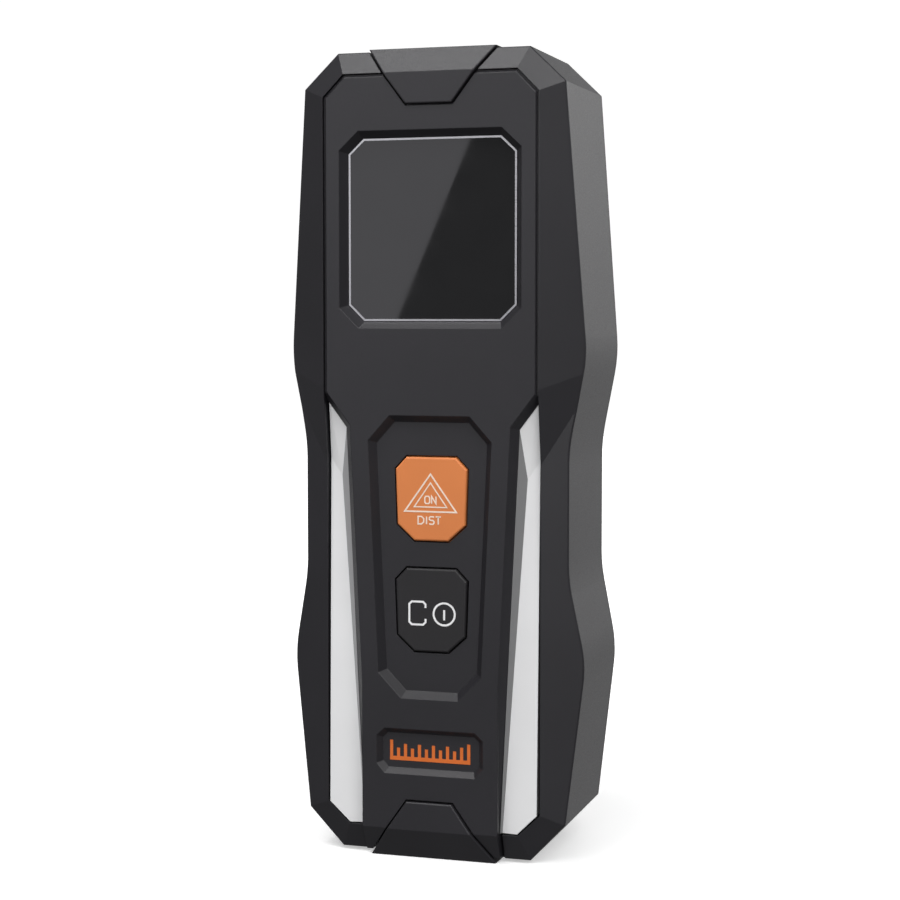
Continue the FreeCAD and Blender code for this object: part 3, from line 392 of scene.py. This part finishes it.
def arc(cx, cz, radius, start, end, steps):
    """Points along an arc, with its angles in degrees."""
    points = []
    for i in range(steps + 1):
        angle = math.radians(start + (end - start) * i / steps)
        points.append((cx + radius * math.cos(angle), cz + radius * math.sin(angle)))
    return points


def mm(points):
    return [(x * MM, z * MM) for x, z in points]


# Each letter in a unit square: its strokes, and whether each one closes on itself.
LETTERS = {
    "O": [([(0.22, 0.0), (0.78, 0.0), (1.0, 0.2), (1.0, 0.8), (0.78, 1.0), (0.22, 1.0), (0.0, 0.8), (0.0, 0.2)],
           True)],
    "N": [([(0.0, 0.0), (0.0, 1.0), (1.0, 0.0), (1.0, 1.0)], False)],
    "D": [([(0.0, 0.0), (0.6, 0.0), (1.0, 0.28), (1.0, 0.72), (0.6, 1.0), (0.0, 1.0)], True)],
    "I": [([(0.5, 0.0), (0.5, 1.0)], False)],
    "S": [([(0.0, 0.08), (0.2, 0.0), (0.8, 0.0), (1.0, 0.16), (1.0, 0.36), (0.78, 0.5), (0.22, 0.52),
            (0.0, 0.66), (0.0, 0.86), (0.2, 1.0), (0.8, 1.0), (1.0, 0.92)], False)],
    "T": [([(0.5, 0.0), (0.5, 1.0)], False), ([(0.0, 1.0), (1.0, 1.0)], False)],
}
# Each letter's width and the gap after it, in the same proportion.
LETTER_WIDTHS = {"O": (1.0, 0.42), "N": (0.9, 0.42), "D": (1.0, 0.4), "I": (0.2, 0.4), "S": (0.82, 0.3),
                 "T": (0.9, 0.3)}


def word(text, x0, x1, z0, z1, width):
    """A word in plain stroked capitals that fills a box, with all sizes in mm."""
    total = sum(sum(LETTER_WIDTHS[c]) for c in text) - LETTER_WIDTHS[text[-1]][1]
    scale = (x1 - x0 - width) / total
    tall = z1 - z0 - width
    x, quads = x0 + width / 2, []
    for c in text:
        wide, gap = LETTER_WIDTHS[c]
        for points, closed in LETTERS[c]:
            placed = mm([(x + px * wide * scale, z0 + width / 2 + pz * tall) for px, pz in points])
            quads += stroke(placed, width * MM, closed)
        x += (wide + gap) * scale
    return quads


def middle_z(name):
    """The height of a piece's middle, in mm."""
    low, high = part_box(name)
    return (low.z + high.z) / 2 / MM


INK_THICK = 0.03 * MM
ink = film("legend_ink", INK_WHITE, 0.4)
cream_ink = film("key_ink", INK_CREAM, 0.4)
orange_ink = film("badge_ink", INK_ORANGE, 0.4)


def measure_legend():
    """A triangle in a triangle round the word for on, with the word for distance below."""
    z = middle_z("measure_key")
    outer = stroke(mm([(-3.86, z - 1.755), (3.74, z - 1.755), (-0.06, z + 3.515)]), 0.22 * MM, True)
    inner = stroke(mm([(-2.45, z - 1.105), (2.33, z - 1.105), (-0.06, z + 2.295)]), 0.17 * MM, True)
    on_word = word("ON", -0.98, 0.84, z - 0.705, z + 0.495, 0.18)
    dist_word = word("DIST", -1.98, 1.55, z - 3.605, z - 2.355, 0.19)
    mark("measure_key_legend", outer + inner + on_word + dist_word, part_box("measure_key")[0].y,
         INK_THICK, cream_ink, "measure_key")


def clear_legend():
    """A C for clear, and a bar in a ring for power."""
    z = middle_z("clear_key")
    line = 0.28 * MM
    top, bottom, lip, corner = z + 1.195, z - 2.055, z + 0.345, z + 0.845
    right, left, bevel = -0.8, -3.2, 0.37
    c_glyph = stroke(mm([(right, lip), (right, corner), (right - bevel, top), (left + bevel, top),
                         (left, corner), (left, bottom + 0.35), (left + bevel, bottom),
                         (right - bevel, bottom), (right, bottom + 0.35), (right, bottom + 0.85)]), line)
    ring_x, ring_z = 1.95, z - 0.455
    ring = stroke(mm(arc(ring_x, ring_z, 1.56, 0, 350, 35)), line, True)
    bar = stroke(mm([(ring_x, ring_z - 0.85), (ring_x, ring_z + 0.6)]), line)
    mark("clear_key_legend", c_glyph + ring + bar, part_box("clear_key")[0].y,
         INK_THICK, ink, "clear_key")


def badge_ruler():
    """A plain scale in the recess below the keys, with longer ticks at the ends and at every other one."""
    recess_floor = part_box("front_faceplate")[0].y + 0.85 * MM
    left, right, low, base = -6.1, 5.8, 14.05, 14.6
    tick_count, tick_wide = 12, 0.46
    end_tick, long_tick, short_tick = 2.3, 1.8, 1.2
    outlines = [mm([(left, low), (right, low), (right, base), (left, base)])]
    for i in range(tick_count):
        if i in (0, tick_count - 1):
            tall = end_tick
        else:
            tall = long_tick if i % 2 == 0 else short_tick
        x = left + i * (right - left - tick_wide) / (tick_count - 1)
        outlines.append(mm([(x, base), (x + tick_wide, base), (x + tick_wide, base + tall), (x, base + tall)]))
    mark("badge_scale", outlines, recess_floor, 0.05 * MM, orange_ink, "case")


measure_legend()
clear_legend()
badge_ruler()


# ---------------------------------------------------------------- stage
def plane(name, corners, material):
    mesh = bpy.data.meshes.new(name)
    mesh.from_pydata(corners, [], [tuple(range(len(corners)))])
    mesh.update()
    obj = bpy.data.objects.new(name, mesh)
    bpy.context.scene.collection.objects.link(obj)
    mesh.materials.append(material)
    return obj


def glow(name, colour, strength):
    made = bpy.data.materials.new(name)
    made.use_nodes = True
    tree = made.node_tree
    tree.nodes.clear()
    out = tree.nodes.new("ShaderNodeOutputMaterial")
    light = tree.nodes.new("ShaderNodeEmission")
    light.inputs["Color"].default_value = colour
    light.inputs["Strength"].default_value = strength
    tree.links.new(light.outputs[0], out.inputs["Surface"])
    return made


def backdrop():
    """A pale floor that curves up into a wall behind the object."""
    r = Recipe("paper")
    mottle = r.noise(3.0, 2.0)
    shade = r.mix(mottle, (0.80, 0.80, 0.80, 1.0), (0.84, 0.84, 0.84, 1.0))
    r.link(shade, r.shader.inputs["Base Color"])
    r.shader.inputs["Roughness"].default_value = 0.9
    r.shader.inputs["Specular IOR Level"].default_value = 0.1
    r.shader.inputs["Emission Color"].default_value = WHITE
    split = r.tree.nodes.new("ShaderNodeSeparateXYZ")
    r.link(r.coords, split.inputs[0])
    ramp = r.node("ShaderNodeMapRange", From_Min=-0.1, From_Max=0.25, To_Min=0.3, To_Max=0.8)
    r.link(split.outputs["Y"], ramp.inputs["Value"])
    r.link(ramp.outputs["Result"], r.shader.inputs["Emission Strength"])
    half, near, turn, radius, top = 3.0, -2.0, 1.2, 0.8, 3.0    # in metres
    profile = [(near, 0.0), (turn, 0.0)]
    for degrees in range(9, 91, 9):
        a = math.radians(degrees)
        profile.append((turn + radius * math.sin(a), radius - radius * math.cos(a)))
    profile.append((turn + radius, top))
    verts = [(x, y, z) for y, z in profile for x in (-half, half)]
    faces = [(2 * i, 2 * i + 1, 2 * i + 3, 2 * i + 2) for i in range(len(profile) - 1)]
    mesh = bpy.data.meshes.new("backdrop")
    mesh.from_pydata(verts, [], faces)
    for polygon in mesh.polygons:
        polygon.use_smooth = True
    mesh.materials.append(r.material)
    obj = bpy.data.objects.new("backdrop", mesh)
    bpy.context.scene.collection.objects.link(obj)
    obj.visible_diffuse = False
    obj.visible_glossy = False


def softbox(name, around, above, power):
    """A square light a metre from the middle of the object, placed by its angles in degrees.

    Around is measured from straight in front towards the right; above is the height over the horizon.
    """
    turn, rise = math.radians(around), math.radians(above)
    toward = Vector((math.sin(turn) * math.cos(rise), -math.cos(turn) * math.cos(rise), math.sin(rise)))
    data = bpy.data.lights.new(name, "AREA")
    data.shape = "SQUARE"
    data.size = SOFTBOX_SIZE
    data.energy = power
    obj = bpy.data.objects.new(name, data)
    obj.location = LIGHT_AIM + toward
    obj.rotation_euler = (-toward).to_track_quat("-Z", "Y").to_euler()
    bpy.context.scene.collection.objects.link(obj)


backdrop()
softbox("overhead_softbox", -38, 65, 3.8)
softbox("key_softbox", 45, 45, 3.3)
softbox("front_softbox", 0, 45, 2.2)
softbox("low_right_softbox", 20, 12, 1.7)
softbox("low_left_softbox", -20, 28, 1.1)
softbox("side_softbox", 125, 15, 1.25)
softbox("rear_right_softbox", 145, 15, 1.5)
softbox("rear_left_softbox", -170, 15, 1.25)


def window_card():
    """A card that gives the display window its slanted light area. Its edge is placed by reflection."""
    window_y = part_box("display_window")[0].y
    card_y, card_top, card_bottom, card_width = -0.7, 0.32, -0.03, 0.3
    mirror = Vector((CAMERA_PLACE.x, 2 * window_y - CAMERA_PLACE.y, CAMERA_PLACE.z))

    def reflected(x, z):
        """Where the card must reach to be seen mirrored at a point of the window, given in mm."""
        toward = Vector((x * MM, window_y, z * MM)) - mirror
        return mirror + toward * ((card_y - mirror.y) / toward.y)

    # The slanted edge crosses the window from the upper point to the lower one.
    upper, lower = reflected(5.52, 101.08), reflected(-4.99, 76.67)
    slope = (upper.x - lower.x) / (upper.z - lower.z)
    edge_top = upper.x + slope * (card_top - upper.z)
    edge_bottom = lower.x + slope * (card_bottom - lower.z)
    return plane("window_card", [(edge_top - card_width, card_y, card_top), (edge_top, card_y, card_top),
                                 (edge_bottom, card_y, card_bottom),
                                 (edge_bottom - card_width, card_y, card_bottom)],
                 glow("card_light", (0.96, 0.95, 1.0, 1.0), 1.45))


def side_card():
    """A card behind the object that gives its right side a sheen."""
    left, right, behind, low, high = -0.35, 0.6, 0.9, -0.5, 0.55
    corners = [(left, behind, low), (right, behind, low), (right, behind, high), (left, behind, high)]
    return plane("side_card", corners, glow("side_card_light", WHITE, 0.58))


# The cards only show as reflections.
for reflector in (window_card(), side_card()):
    reflector.visible_camera = False
    reflector.visible_shadow = False
    reflector.visible_diffuse = False

world = bpy.data.worlds.new("studio")
bpy.context.scene.world = world
world.use_nodes = True
background = world.node_tree.nodes["Background"]
background.inputs["Color"].default_value = WHITE
background.inputs["Strength"].default_value = 0.2

camera_data = bpy.data.cameras.new("camera")
camera_data.sensor_width = CAMERA_SENSOR
camera_data.lens = CAMERA_LENS
camera_data.clip_start = 0.01
camera = bpy.data.objects.new("camera", camera_data)
camera.location = CAMERA_PLACE
camera.rotation_euler = Euler((CAMERA_PITCH, 0.0, CAMERA_TURN), "XYZ")
bpy.context.scene.collection.objects.link(camera)
bpy.context.scene.camera = camera
bpy.context.scene.view_settings.view_transform = "Standard"
